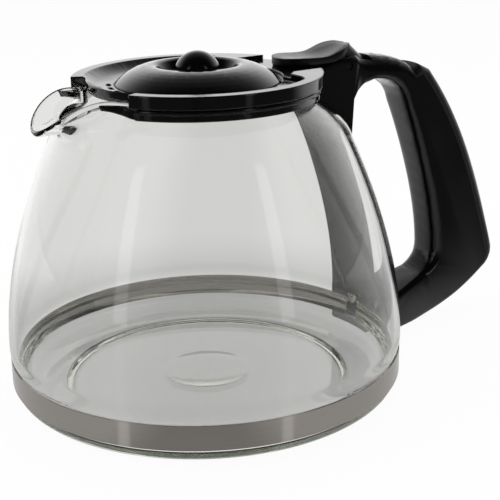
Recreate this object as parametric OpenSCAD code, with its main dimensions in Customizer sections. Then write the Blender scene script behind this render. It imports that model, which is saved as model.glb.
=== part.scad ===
// Coffee server carafe: a blown glass jug with a hinged lid, a neck collar,
// a looped handle and a steel band that clamps the handle to the glass.
// Origin: centre of the foot ring. +X points to the handle, +Z up, the spout lies at -X.

/* [Glass jug] */
// Largest outer radius of the belly
belly_r = 75.1; // [62:0.1:90]
// Height of the largest radius
belly_z = 22; // [20:0.5:28]
// Width of the heel, from the belly in to the flat ring that the jug stands on
heel_w = 14.1; // [10:0.1:18]
// Width of that ring
foot_w = 5; // [3:0.5:8]
// Height of the hollow under the floor
punt_h = 1.6; // [1:0.1:2.2]
// Height of the floor inside the jug
floor_z = 4.2; // [3.8:0.1:5]
// Radius of the thick round lens in the middle of the floor
lens_r = 18; // [12:1:26]
// Height of that lens above the floor
lens_h = 1.1; // [0.6:0.1:1.6]
// Height where the body ends and the drawn neck begins
shoulder_z = 98; // [82:0.5:116]
// Outer radius of the glass at that height
shoulder_r = 55.95; // [52:0.05:60]
// How late the side wall leans in: a larger power keeps it upright longer
lean_power = 1.8; // [1.6:0.05:2]
// Thickness of the glass wall
wall_t = 2.2; // [1.8:0.1:2.6]
// Outer radius of the neck
neck_r = 42.2; // [38:0.1:46]
// Height of the drawn surface, from the shoulder up to the upright neck
draw_h = 14.3; // [12:0.1:17]
// How far the glass rim rises above the collar
rim_h = 1.2; // [1:0.1:1.6]
// How far the rim's bead stands out from the neck
bead_out = 0.7; // [0.4:0.1:0.8]

/* [Spout] */
// How far the spout's lip reaches beyond the neck
spout_out = 22.8; // [18:0.1:27]
// Depth of the drooping lip's underside below the rim
spout_drop = 10.8; // [9:0.1:12.5]
// Half the angle over which the neck swells into the spout
spout_half_angle = 28; // [26:1:30]
// Half the angle over which the rim droops
droop_half_angle = 21; // [18:1:24]
// How far the rim rises beside the droop
cheek_rise = 2; // [1:0.1:2.5]

/* [Steel band] */
// Depth of the groove in the belly that holds the band
groove_depth = 0.85; // [0.7:0.05:1.1]
// Thickness of the steel strip
band_t = 0.6; // [0.4:0.1:0.8]
// Lower edge of the band
band_z = 7.5; // [7:0.1:9]
// Width of the steel strip
band_h = 9.3; // [8:0.1:11]
// Half the gap between the two bent lugs
lug_gap_half = 3.6; // [3.4:0.1:4.2]
// How far the lugs stand out from the band
lug_out = 9.5; // [8.5:0.1:11]
// Height of the lugs' lower edge above the band's lower edge
lug_rise = 2.1; // [1.5:0.1:3]
// Height of the lugs
lug_h = 9.2; // [8.4:0.1:10]

/* [Clamp screw and nut] */
// Distance of the screw from the band
screw_out = 5; // [4.6:0.1:6]
// Radius of the threaded shank
screw_r = 2; // [1.5:0.1:2]
// Radius of the screw's pan head
screw_head_r = 3.6; // [3.2:0.1:3.8]
// Height of the pan head
screw_head_h = 2.2; // [1.8:0.1:2.6]
// Thickness of the handle's wall between the head and the near lug
screw_wall_t = 3.4; // [3:0.1:3.6]
// Width of the hex nut across its flats
nut_flats = 7; // [6.5:0.1:7.4]
// Thickness of the nut
nut_t = 2.6; // [2.2:0.1:3]

/* [Neck collar] */
// Height of the collar and of the upright neck inside it
collar_h = 3.6; // [3.2:0.1:4.4]
// Thickness of the collar's skirt
collar_t = 2.6; // [2.2:0.1:2.8]
// Height of the flange at the collar's upper edge
collar_flange_h = 1.2; // [1:0.1:1.5]
// How far that flange stands out
collar_flange_out = 0.5; // [0.3:0.1:0.6]
// Angle from the spout where the round collar ends and its arms begin
collar_open_angle = 31; // [30:0.5:34]
// Angle from the spout where the arms end
arm_tip_angle = 18.6; // [17:0.2:22]
// Height of an arm at its tip
arm_tip_h = 1.8; // [1.4:0.1:2.4]
// Thickness of an arm at its tip
arm_tip_t = 1.4; // [1:0.1:2]
// How far the arms rise towards their tips, beside the bead
arm_rise = 1.2; // [0.6:0.1:1.4]
// How far the tang that locks the collar into the handle stands out from the skirt
tang_out = 4.6; // [3.5:0.1:5]
// Half width of the tang
tang_half = 4.4; // [3.5:0.1:5]
// Height of the tang
tang_h = 2.6; // [2:0.1:2.8]

/* [Handle] */
// Half width of the arch, the grip and the ears
handle_half = 8.5; // [8.3:0.1:9.5]
// How far the grip's outermost point stands out from the band
grip_out = 69.9; // [60:0.1:80]
// Thickness of the cover along the back of the grip
cover_t = 4.6; // [4:0.1:5.4]
// Rounding of the grip's outer edges
back_edge_r = 3.2; // [2:0.1:4]
// Rounding of the grip's inner edges, where the fingers lie
finger_edge_r = 4.6; // [3:0.1:5]
// Rounding of the edges at the ears and where the foot meets the plate
ear_edge_r = 1.4; // [1:0.1:1.5]
// How much rounder the arch's upper edges are than the grip's
arch_round = 4; // [0:0.5:4.5]
// Half width of the plate that lies against the glass
spine_half = 13.7; // [12:0.1:15]
// Thickness of that plate
spine_t = 3.6; // [3:0.1:4]
// How far the plate's lower end stands below the band
spine_drop = 0.5; // [0.3:0.1:1]
// Distance of the plate's upper end below the collar
spine_gap = 0.7; // [0.4:0.1:1.5]
// Half width of the foot where it meets the plate
foot_flare_half = 13.2; // [11:0.1:13.5]
// Length over which the foot narrows to the grip's width
foot_flare_l = 33; // [25:1:40]

/* [Lid hinge] */
// Distance of the hinge pin from the lid's rim
hinge_out = 17.6; // [16:0.1:19]
// Height of the hinge pin above the glass rim
hinge_up = 0.6; // [0.4:0.1:1]
// Radius of the pin
pin_r = 1.5; // [1.2:0.05:1.7]
// Running clearance of the pin in the lever
pin_play = 0.05; // [0.02:0.01:0.1]
// Thickness of each ear beside the lever
ear_t = 1.8; // [1.7:0.1:2.4]
// Distance between the lid's rim and the ears
ear_gap = 1.6; // [1.2:0.1:2]
// Angle by which the lid opens, until the thumb rest lies on the ears
lid_open = 60; // [50:1:62]

/* [Lid] */
// How far the lid's rim stands out from the neck
lid_out = 3.6; // [3.3:0.1:4]
// Height of the lid's rim above the glass
lid_h = 3.5; // [3:0.1:4]
// How far the lid's rim wall reaches down beside the glass
lid_lap = 1.1; // [0.8:0.05:1.2]
// Thickness of that wall
lid_wall_t = 2.1; // [1.8:0.1:2.2]
// Clearance between the lid and the glass rim
lid_gap = 0.4; // [0.35:0.05:0.6]
// Width of the flat top of the rim
rim_flat = 4.4; // [3.8:0.1:4.6]
// Width of the rim and of the slope down to the dish
dish_w = 8.8; // [7:0.1:10]
// Height of the dished plate above the lid's underside
dish_up = 0.4; // [0.2:0.1:0.7]
// Thickness of the dished plate
plate_t = 1.5; // [1.2:0.1:1.8]
// Depth of the opening in the rim above the spout
pour_cut = 5.3; // [5:0.1:6]
// Width of the flat land beside the hinge
land_w = 20.3; // [18:0.1:22]
// Radius of the corner between the land and the rim
land_corner_r = 8; // [5:0.5:10]
// Half width of the seat for the lever, which parts the land in two
seat_half = 19.2; // [17:0.1:21]
// Slant of the land's corners beside the seat
seat_flare = 3.4; // [2:0.1:4]
// Distance between the short skirt under the plate and the glass
skirt_gap = 4; // [3:0.1:5]
// Height of that skirt below the plate
skirt_h = 1.1; // [0.6:0.1:1.4]
// Distance of the strainer slots from the skirt
slot_in = 3.7; // [3.2:0.1:3.8]
// Length of one strainer slot
slot_l = 4.8; // [3.5:0.1:5]
// Width of one strainer slot
slot_w = 1.6; // [1.2:0.1:1.8]
// Angle between two neighbouring slots
slot_step = 12.8; // [11:0.2:14]

/* [Lid dome] */
// Distance between the dome's foot and the skirt
dome_in = 5.4; // [5:0.1:6]
// Height of the dome's crest above the dish
dome_h = 6.5; // [5.5:0.1:7.5]
// Radius of that crest, around the well
crest_r = 16; // [14.5:0.5:17]
// Depth of the well
well_depth = 3.8; // [3.2:0.1:4.4]
// Wall thickness of the dome
dome_t = 1.8; // [1.5:0.1:2]
// Number of drain slots in the well's floor
drain_count = 6; // [4:1:8]
// Length of one drain slot
drain_l = 3.6; // [2.5:0.1:4]
// Width of one drain slot
drain_w = 2.4; // [1.5:0.1:3]

/* [Drip knob] */
// Height of the top of the knob above the dome's crest
knob_up = 4.8; // [4:0.1:6]
// Radius of the knob's round top
knob_ball_r = 8.6; // [8:0.1:9.5]
// Radius of the knob's side
knob_r = 7.9; // [7.2:0.1:8]
// Radius of the stem that plugs into the dome
stem_r = 3.2; // [2.5:0.1:4]
// Length of that stem below the well's floor
stem_l = 3.4; // [2.5:0.1:4]

/* [Thumb lever] */
// Half width of the thumb rest
lever_half = 8.6; // [8:0.1:9.5]
// How far the thumb rest reaches in over the lid
lever_lap = 11.4; // [10:0.1:12.5]
// Depth of the seat in the lid's land that the lever stands on
seat_depth = 1.6; // [1.2:0.1:1.8]
// Height of the rest's underside above the seat
rest_up = 0.9; // [0.5:0.1:1.2]
// Height of the lever's crest above the lid's rim
lever_h = 5.2; // [4.6:0.1:6]
// Depth of the thumb's dish across the rest
thumb_dish = 0.9; // [0.4:0.1:1.1]
// Distance from the centre of the rest's round back end to the pin
lever_back = 4.7; // [4:0.1:6]
// Radius of the knuckle around the pin
knuckle_r = 4.2; // [3.8:0.1:4.6]
// How far the lever's tail reaches behind the pin
tail_l = 11; // [10:0.1:11.5]

/* [Hidden] */
$fn = 96;

// How far a cutting body runs past the face that it opens
over = 1;
// Fit of the band and the handle on the glass
glass_fit = 0.05;
// Radial fit between two bodies that move against each other
move_gap = 0.3;

black = "#1b1a1b";
matte_black = "#242120";

// Heights of the stack: neck, collar, glass rim, lid, dome, knob
neck_z = shoulder_z + draw_h;
collar_top_z = neck_z + collar_h;
rim_z = collar_top_z + rim_h;
lid_under_z = rim_z + lid_gap;
dish_z = lid_under_z + dish_up;
lid_top_z = lid_under_z + lid_h;
crest_z = dish_z + dome_h;
well_z = crest_z - well_depth;
knob_z = crest_z + knob_up;

// Radii that follow from the belly and from the neck
foot_r = belly_r - heel_w;
foot_inner_r = foot_r - foot_w;
groove_r = belly_r - groove_depth;
band_in_r = groove_r + glass_fit;
band_r = band_in_r + band_t;
collar_r = neck_r + collar_t;
lid_r = neck_r + lid_out;
skirt_r = neck_r - wall_t - skirt_gap;

hinge_x = lid_r + hinge_out;
hinge_z = rim_z + hinge_up;
HINGE = [hinge_x, 0, hinge_z];

function mix(a, b, share) = a + (b - a) * share;
function cos_squared(angle) = pow(cos(angle), 2);
function reversed(list) = [for (i = [len(list) - 1:-1:0]) list[i]];
function tail(list) = [for (i = [1:len(list) - 1]) list[i]];

// A point between two corners, at a share of the way in each direction
function between(a, b, shares) = [mix(a[0], b[0], shares[0]), mix(a[1], b[1], shares[1])];

// A point on a cubic curve from a to d, drawn towards b and c
function curve_at(a, b, c, d, t) =
    a * pow(1 - t, 3) + 3 * b * t * pow(1 - t, 2) + 3 * c * t * t * (1 - t) + d * pow(t, 3);

// The same curve as a list of points
function curve(a, b, c, d, steps) = [for (i = [0:steps]) curve_at(a, b, c, d, i / steps)];

// The same curve through two places that are given as shares between its ends
function bend(a, d, shares, steps) = curve(a, between(a, d, shares[0]), between(a, d, shares[1]), d, steps);

// Faces of rows of points, each row a closed loop: first the sides, then the two ends
function side_faces(rows, cols, from = 0) = [for (r = [0:rows - 1]) for (c = [0:cols - 1])
    let (r2 = (r + 1) % (rows + from), c2 = (c + 1) % cols, a = r * cols + c, b = r * cols + c2,
         d = r2 * cols + c, e = r2 * cols + c2)
    each [[a, b, e], [a, e, d]]];
function tube_faces(rows, cols) = concat(
    side_faces(rows - 1, cols, 1),
    [[for (c = [cols - 1:-1:0]) c]],
    [[for (c = [0:cols - 1]) (rows - 1) * cols + c]]);

// Glass jug, body: a solid of revolution. Points are [radius, height].

// Height of the groove beyond the band, at each of its edges
groove_play = 0.2;
// Width of the slope between the foot ring and the hollow under the floor
punt_slope_w = 4;

heel_top_z = band_z - groove_play;
groove_top_z = band_z + band_h + groove_play;
inner_wall_r = groove_r - wall_t;

heel_shares = [[0.53, 0.03], [0.955, 0.36]];
inner_heel_shares = [[0.61, 0.016], [0.949, 0.31]];
inner_foot_share = 0.1;
groove_lip_shares = [0.82, 0.28];
lens_shares = [[0.5, 0], [0.75, 1]];

// Outer radius of the side wall, from the belly up to the shoulder
function wall_r(z) =
    belly_r - (belly_r - shoulder_r) * pow((z - belly_z) / (shoulder_z - belly_z), lean_power);

wall_steps = 18;
heel = bend([foot_r, 0], [groove_r, heel_top_z], heel_shares, 7);
side = [for (i = [0:wall_steps]) let (z = mix(belly_z, shoulder_z, i / wall_steps)) [wall_r(z), z]];
outer_body = concat(heel, [[groove_r, groove_top_z],
    between([groove_r, groove_top_z], [belly_r, belly_z], groove_lip_shares)], side);
inner_heel = bend([mix(foot_inner_r, foot_r, inner_foot_share), floor_z], [inner_wall_r, groove_top_z],
                  inner_heel_shares, 7);
inner_body = concat(inner_heel, [for (p = side) p - [wall_t, 0]]);
lens = bend([0, floor_z + lens_h], [lens_r, floor_z], lens_shares, 6);

// Glass jug, neck and spout: a drawn surface. Two outlines are mixed by the angle
// from the spout: one for the plain neck, one for the spout's middle.

// Sink of the neck's root into the body's wall, so that the two melt together
root_sink = 0.1;
// Depth of that root below the shoulder, and how far it tapers on either side
root_depth = 1.4;
root_outer_in = 0.3;
root_inner_out = 1;

spout_reach = neck_r + spout_out;
spout_z = rim_z - spout_drop;
draw_steps = 7;

// Places on the curves of the neck, as shares of its width and height
neck_rise_share = 0.587;
neck_inner_rise_share = 0.545;
neck_shares = [0.78, 0.783];
neck_inner_shares = [0.78, 0.745];
neck_inner_top_share = 0.97;
bead_shares = [[1, 0.33], [1, 0.75], [0.29, 1]];
inner_bead_shares = [[0.045, 0.25], [0.18, 0.75], [0.45, 1]];
collar_line_share = 0.83;

// Places on the spout's middle: share of its reach, and share of the wall above its underside
spout_rise_share = 0.857;
spout_inner_rise_share = 0.774;
throat_shares = [[0.496, 0.136], [0.671, 0.045]];
inner_throat_shares = [[0.408, 1.045], [0.671, 1.045]];
lip_shares = [[0.895, 0], [0.969, 0.045], [1, 0.27], [0.996, 0.7]];
inner_lip_shares = [[0.842, 1], [0.917, 1.045], [0.956, 1.023], [0.978, 1]];

function lip_at(shares) = [mix(neck_r, spout_reach, shares[0]), spout_z + wall_t * shares[1]];

// How much the wall leans in for each unit of height at the shoulder
shoulder_slope = lean_power * (belly_r - shoulder_r) / (shoulder_z - belly_z);

root_outer = [shoulder_r - root_sink, shoulder_z];
root_inner = [shoulder_r - wall_t + root_sink, shoulder_z];
neck_in_r = neck_r - wall_t;
neck_in_z = mix(shoulder_z, neck_z, neck_inner_top_share);
throat_h = lip_at(throat_shares[1])[1] - shoulder_z;

function leaning(root, rise) = root + [-rise * shoulder_slope, rise];

neck_outer = concat(
    [[shoulder_r - root_outer_in, shoulder_z - root_depth]],
    curve(root_outer, leaning(root_outer, draw_h * neck_rise_share),
          between(root_outer, [neck_r, neck_z], neck_shares), [neck_r, neck_z], draw_steps),
    [[neck_r, collar_top_z]],
    [for (s = bead_shares) between([neck_r, collar_top_z], [neck_r + bead_out, rim_z], s)]);
neck_inner = concat(
    [[shoulder_r - wall_t + root_inner_out, shoulder_z - root_depth]],
    curve(root_inner, leaning(root_inner, draw_h * neck_inner_rise_share),
          between(root_inner, [neck_in_r, neck_in_z], neck_inner_shares), [neck_in_r, neck_in_z], draw_steps),
    [[neck_in_r, mix(neck_z, collar_top_z, collar_line_share)]],
    [for (s = inner_bead_shares) between([neck_in_r, collar_top_z], [neck_r, rim_z], s)]);
spout_outer = concat(
    [[shoulder_r - root_outer_in, shoulder_z - root_depth]],
    curve(root_outer, leaning(root_outer, throat_h * spout_rise_share),
          lip_at(throat_shares[0]), lip_at(throat_shares[1]), draw_steps),
    [for (s = lip_shares) lip_at(s)]);
spout_inner = concat(
    [[shoulder_r - wall_t + root_inner_out, shoulder_z - root_depth]],
    curve(root_inner, leaning(root_inner, throat_h * spout_inner_rise_share),
          lip_at(inner_throat_shares[0]), lip_at(inner_throat_shares[1]), draw_steps),
    [for (s = inner_lip_shares) lip_at(s)]);

// Angle from the spout's middle to the end of its cheeks, and how fast the swelling fades
cheek_half_angle = 30;
swell_power = 1.15;

// Share of the spout in the radius and in the height, at an angle from the spout
function swell(angle) = abs(angle) < spout_half_angle
    ? cos_squared(90 * pow(abs(angle) / spout_half_angle, swell_power)) : 0;
function droop(angle) = abs(angle) < droop_half_angle ? cos_squared(90 * angle / droop_half_angle) : 0;
function cheek(angle) = abs(angle) < cheek_half_angle
    ? cheek_rise * pow(sin(180 * angle / cheek_half_angle), 2) : 0;

// One point of the drawn surface, as [radius, height]. lift goes from 0 at the shoulder to 1 at the rim.
function drawn(neck_p, spout_p, angle, lift) =
    [mix(neck_p[0], spout_p[0], swell(angle)),
     mix(neck_p[1], spout_p[1], droop(angle)) + cheek(angle) * pow(lift, 3)];

// A point at a radius and height, at an angle counted from the spout
function placed(p, angle) = [-p[0] * cos(angle), p[0] * sin(angle), p[1]];

fine_columns = 24;
coarse_columns = 40;
columns = concat(
    [for (i = [0:fine_columns - 1]) mix(-cheek_half_angle, cheek_half_angle, i / fine_columns)],
    [for (i = [0:coarse_columns - 1]) mix(cheek_half_angle, 360 - cheek_half_angle, i / coarse_columns)]);
neck_rows = concat(neck_outer, reversed(neck_inner));
spout_rows = concat(spout_outer, reversed(spout_inner));
half_rows = len(neck_outer);
function lift_of(row) = row < half_rows ? row / (half_rows - 1) : (2 * half_rows - 1 - row) / (half_rows - 1);
neck_points = [for (r = [0:len(neck_rows) - 1]) for (a = columns)
    placed(drawn(neck_rows[r], spout_rows[r], a > 180 ? a - 360 : a, lift_of(r)), a)];

module glass_jug() {
    color("#cfd6d4", 0.4) {
        rotate_extrude() polygon(concat(
            [[0, punt_h], [foot_inner_r - punt_slope_w, punt_h], [foot_inner_r, 0]],
            outer_body, reversed(inner_body), reversed(lens)));
        polyhedron(points = neck_points, faces = side_faces(len(neck_rows), len(columns)), convexity = 6);
    }
}

// Steel band: a ring whose ends are bent outward into two lugs

lug_out_y = lug_gap_half + band_t;
lug_reach = band_r + lug_out;
lug_z = band_z + lug_rise;
lug_tip_x = lug_reach - lug_h / 2;
screw_x = band_r + screw_out;
screw_z = lug_z + lug_h / 2;

// Radius of the hole in the near lug, and of the nut's collar swaged into the far one
screw_play = 0.15;
screw_hole_r = screw_r + screw_play;
nut_collar_t = 0.9;
nut_collar_r = screw_r + nut_collar_t;

module lug(hole_r) {
    // Flat plate of the lug, drawn in X and Z and set up along Y
    rotate([90, 0, 0]) linear_extrude(band_t) difference() {
        union() {
            translate([band_in_r - band_t, lug_z]) square([lug_tip_x - band_in_r + band_t, lug_h]);
            translate([lug_tip_x, screw_z]) circle(lug_h / 2);
        }
        translate([screw_x, screw_z]) circle(hole_r);
        translate([0, band_z + band_h]) square([band_r + band_t, lug_h]);
    }
}

module steel_band() {
    color("#8c8780") {
        difference() {
            rotate_extrude() translate([band_in_r, band_z]) square([band_t, band_h]);
            translate([0, -lug_out_y, 0]) cube([band_r + over, lug_out_y * 2, band_z + band_h + over]);
        }
        intersection() {
            union() {
                translate([0, lug_out_y, 0]) lug(nut_collar_r);
                translate([0, -lug_gap_half, 0]) lug(screw_hole_r);
            }
            difference() {
                cylinder(r = lug_reach + over, h = lug_z + lug_h + over);
                cylinder(r = band_in_r, h = lug_z + lug_h + over * 2);
            }
        }
    }
}

// Clamp screw and nut. Their axis lies along Y, in the foot of the handle.

drive_r = 1.9;
drive_depth = 1.2;
screw_seat_y = -lug_out_y - screw_wall_t;

module along_y(y) {
    // Stands a body drawn along +Z on the plane y, so that it runs towards +Y
    translate([screw_x, y, screw_z]) rotate([-90, 0, 0]) children();
}

module clamp_screw() {
    color("#a9a6a0") difference() {
        union() {
            along_y(screw_seat_y) cylinder(r = screw_r, h = lug_out_y - screw_seat_y);
            along_y(screw_seat_y - screw_head_h) cylinder(r = screw_head_r, h = screw_head_h);
        }
        along_y(screw_seat_y - screw_head_h - over) cylinder(r = drive_r, h = drive_depth + over, $fn = 6);
    }
}

module clamp_nut() {
    color("#b4b1aa") difference() {
        union() {
            along_y(lug_gap_half - nut_t) cylinder(d = nut_flats / cos(30), h = nut_t, $fn = 6);
            along_y(lug_gap_half) cylinder(r = nut_collar_r, h = band_t);
        }
        along_y(lug_gap_half - nut_t - over) cylinder(r = screw_r, h = nut_t + band_t + over * 2);
    }
}

// Neck collar: a ring that snaps under the glass bead, open at the spout

// Lower row of the neck's surface that the arms lie on
arm_row = draw_steps + 1;
arm_columns = 6;
// Angle by which the arms reach into the round collar, and how far they stay inside its faces
arm_root_lap = 2;
arm_inset = 0.05;
arm_root_h_share = 0.98;
// How soon an arm is clear of the bead, as a share of its length
arm_clear_share = 0.3;
arm_root_angle = collar_open_angle + arm_root_lap;

tang_z = neck_z + (collar_h - tang_h) / 2;
tang_reach = collar_r + tang_out;

// One cross-section of an arm: four corners beside the glass, at an angle from the spout
function arm_section(angle) =
    let (share = (arm_root_angle - angle) / (arm_root_angle - arm_tip_angle),
         low = drawn(neck_outer[arm_row], spout_outer[arm_row], angle, lift_of(arm_row)),
         top = drawn(neck_outer[arm_row + 1], spout_outer[arm_row + 1], angle, lift_of(arm_row + 1)),
         h_share = mix(arm_root_h_share, arm_tip_h / collar_h, share),
         t = mix(collar_t - arm_inset, arm_tip_t, share),
         step = [arm_inset + (bead_out + arm_inset) * min(1, share / arm_clear_share), arm_rise * share * share],
         base = mix(top, low, h_share) + step,
         head = top + step - [0, arm_inset])
    [placed(base, angle), placed(base + [t, 0], angle), placed(head + [t, 0], angle), placed(head, angle)];

arm_points = [for (i = [0:arm_columns]) each arm_section(mix(arm_root_angle, arm_tip_angle, i / arm_columns))];

module collar_arm() {
    polyhedron(points = arm_points, faces = tube_faces(arm_columns + 1, 4), convexity = 4);
}

module neck_collar() {
    color(black) {
        rotate([0, 0, collar_open_angle - 180])
            rotate_extrude(angle = 360 - 2 * collar_open_angle)
            polygon([[neck_r, neck_z], [collar_r, neck_z], [collar_r, collar_top_z - collar_flange_h],
                     [collar_r + collar_flange_out, collar_top_z - collar_flange_h],
                     [collar_r + collar_flange_out, collar_top_z], [neck_r, collar_top_z]]);
        collar_arm();
        mirror([0, 1, 0]) collar_arm();
        difference() {
            translate([neck_r, -tang_half, tang_z]) cube([tang_reach - neck_r, tang_half * 2, tang_h]);
            cylinder(r = mix(neck_r, collar_r, 0.5), h = lid_top_z);
        }
    }
}

// Handle. One loft runs from the ears over the arch, down the grip and back to the
// glass. Each of its sections spans a point of the finger gap and a point of the back.

grip_reach = band_r + grip_out;
ear_front_x = lid_r + ear_gap;
foot_r_in = groove_r - over * 4;

// Places as shares of the way from the hinge to the grip's reach, and of the hinge's height
function on_handle(shares) = [mix(hinge_x, grip_reach, shares[0]), hinge_z * shares[1]];
// The same for the foot, from the band to the grip's reach
function on_foot(shares) = [mix(band_r, grip_reach, shares[0]), hinge_z * shares[1]];
function handle_curve(shares, steps) =
    curve(on_handle(shares[0]), on_handle(shares[1]), on_handle(shares[2]), on_handle(shares[3]), steps);

ear_top_shares = [-0.042, 1.028];
arch_shares = [[0.044, 1.034], [0.102, 1.011], [0.305, 1.044], [0.425, 0.954]];
cover_lip_shares = [0.45, 0.9745];
back_shares = [[0.518, 0.9524], [0.734, 0.777], [0.865, 0.5665], [1, 0.2464]];
corner_shares = [[1, 0.2464], [1.006, 0.209], [0.978, 0.182], [0.929, 0.165]];
sole_shares = [[0.731, 0.09], [0.531, 0.029], [0.13, 0.029]];

gap_root_shares = [0.0147, 0.7307];
gap_ear_shares = [[0.006, 0.8156], [0.006, 0.888], [0.063, 0.937], [0.161, 0.94]];
gap_crown_shares = [[0.161, 0.94], [0.241, 0.941], [0.322, 0.921], [0.3575, 0.8666]];
gap_grip_shares = [[0.3575, 0.8666], [0.437, 0.731], [0.566, 0.493], [0.582, 0.306]];
gap_heel_shares = [[0.582, 0.306], [0.5885, 0.2464], [0.548, 0.214]];
gap_floor_shares = [[0.395, 0.2], [-0.07, 0.1155]];

arch_steps = 8;
grip_steps = 10;
corner_steps = 4;
sole_steps = 6;

arch = handle_curve(arch_shares, arch_steps);
back = handle_curve(back_shares, grip_steps);
corner = handle_curve(corner_shares, corner_steps);
arch_end = arch[arch_steps];
corner_end = corner[corner_steps];
sole = curve(corner_end, on_foot(sole_shares[0]), on_foot(sole_shares[1]), on_foot(sole_shares[2]), sole_steps);
gap_ear = handle_curve(gap_ear_shares, arch_steps / 2);
gap_crown = handle_curve(gap_crown_shares, arch_steps / 2);
gap_grip = handle_curve(gap_grip_shares, grip_steps + 2);
gap_floor_a = on_foot(gap_floor_shares[0]);
gap_floor_b = on_foot(gap_floor_shares[1]);
gap_heel = curve(on_handle(gap_heel_shares[0]), on_handle(gap_heel_shares[1]), on_handle(gap_heel_shares[2]),
                 gap_floor_a, corner_steps * 2);
floor_steps = sole_steps - corner_steps + 1;

outer_line = concat([[ear_front_x, hinge_z]], [on_handle(ear_top_shares)], arch, [on_handle(cover_lip_shares)],
                    back, tail(corner), tail(sole), [[foot_r_in, sole[sole_steps][1]]]);
inner_line = concat([[ear_front_x, on_handle(gap_root_shares)[1]]], [on_handle(gap_root_shares)],
                    gap_ear, tail(gap_crown), tail(gap_grip), tail(gap_heel),
                    [for (i = [1:floor_steps]) mix(gap_floor_a, gap_floor_b, i / floor_steps)]);
sections = len(outer_line);

// The edges are small at the ears and at the plate and grow along the grip
ear_sections = 10;
foot_sections = 8;
arch_sections = 11;
edge_steps = 4;

function softness(i) = min(1, i / ear_sections, (sections - 1 - i) / foot_sections);
function crown(i) = arch_round * pow(sin(180 * min(1, i / arch_sections)), 2);
// Half width of a section: the foot flares towards the glass, the rest keeps the grip's width
function half_at(i) = i < sections - foot_sections ? handle_half
    : mix(foot_flare_half, handle_half,
          min(1, max(0, ((outer_line[i][0] + inner_line[i][0]) / 2 - band_r) / foot_flare_l)));

// One rounded section as 3D points. Its corners have a small radius inside and outside.
function loop_section(i) =
    let (inner = inner_line[i], depth = norm(outer_line[i] - inner), way = (outer_line[i] - inner) / depth,
         half = half_at(i), r_out = mix(ear_edge_r, back_edge_r, softness(i)) + crown(i),
         r_in = mix(ear_edge_r, finger_edge_r, softness(i)))
    [for (p = concat(
        [for (k = [0:edge_steps]) let (a = 90 * k / edge_steps)
            [depth - r_out + r_out * cos(a), half - r_out + r_out * sin(a)]],
        [for (k = [0:edge_steps]) let (a = 90 * k / edge_steps)
            [r_in - r_in * sin(a), half - r_in + r_in * cos(a)]],
        [for (k = [0:edge_steps]) let (a = 90 * k / edge_steps)
            [r_in - r_in * cos(a), r_in - half - r_in * sin(a)]],
        [for (k = [0:edge_steps]) let (a = 90 * k / edge_steps)
            [depth - r_out + r_out * sin(a), r_out - half - r_out * cos(a)]]))
        let (place = inner + way * p[0]) [place[0], p[1], place[1]]];

loop_points = [for (i = [0:sections - 1]) each loop_section(i)];

module handle_loop() {
    polyhedron(points = loop_points, faces = tube_faces(sections, 4 * (edge_steps + 1)), convexity = 8);
}

// The cover's region, beyond a seam that runs parallel to the back of the grip
cover_drop_share = 0.33;
cover_start_shares = [0.22, 0.57];
cover_shift = [cover_t, cover_t * cover_drop_share];
seam = [for (p = back) p - cover_shift];
cover_region = concat(
    [arch_end - [cover_t * cover_start_shares[0], cover_t * cover_start_shares[1]], arch_end,
     [arch_end[0], lid_top_z], [grip_reach + over * 2, lid_top_z], [grip_reach + over * 2, corner_end[1] - over],
     corner_end], reversed(seam));

module slab(half, outline) {
    // A plate of twice the half width, standing on the plane of symmetry
    translate([0, half, 0]) rotate([90, 0, 0]) linear_extrude(half * 2) polygon(outline);
}

// Outline of the neck above its root, which the plate and the cut-back follow
neck_part = [for (p = neck_outer) if (p[1] > shoulder_z + root_depth && p[1] <= neck_z) p];
clear_step = [glass_fit, 0];

// The space taken by the glass, the band and the collar, which the handle is cut back from
module jug_space() {
    rotate_extrude() polygon(concat(
        [[0, 0], [band_r + glass_fit, 0], [band_r + glass_fit, groove_top_z], [belly_r + glass_fit, belly_z]],
        [for (p = tail(side)) p + clear_step],
        [for (p = neck_part) p + clear_step],
        [[collar_r, neck_z], [collar_r, collar_top_z - collar_flange_h],
         [collar_r + collar_flange_out, collar_top_z - collar_flange_h],
         [collar_r + collar_flange_out, collar_top_z + over], [0, collar_top_z + over]]));
}

spine_z = band_z - spine_drop;
spine_top_z = neck_z - spine_gap;
spine_angle = 30;
spine_neck_shares = [0.8, 0.5];

module spine() {
    // The plate against the glass: a revolved shell cut to a strip
    core_r = neck_r - over;
    intersection() {
        rotate([0, 0, -spine_angle]) rotate_extrude(angle = 2 * spine_angle) polygon(concat(
            [[band_r, spine_z], [band_r + glass_fit + spine_t, spine_z]],
            [for (p = side) p + [spine_t, 0]],
            [for (p = neck_part) if (p[1] < spine_top_z) p + spine_t * spine_neck_shares],
            [[collar_r, neck_z], [core_r, neck_z], [core_r, belly_z], [groove_r, belly_z]]));
        translate([0, -spine_half, 0]) cube([grip_reach, spine_half * 2, lid_top_z]);
    }
}

// Depth of the lever's slot below the pin, and play of the lugs and the screw's head in their pockets
slot_drop = 3;
lug_play = 0.4;
lug_side_play = 0.2;
tail_play = 1.5;
ear_well_r = tail_l + tail_play;

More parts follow.
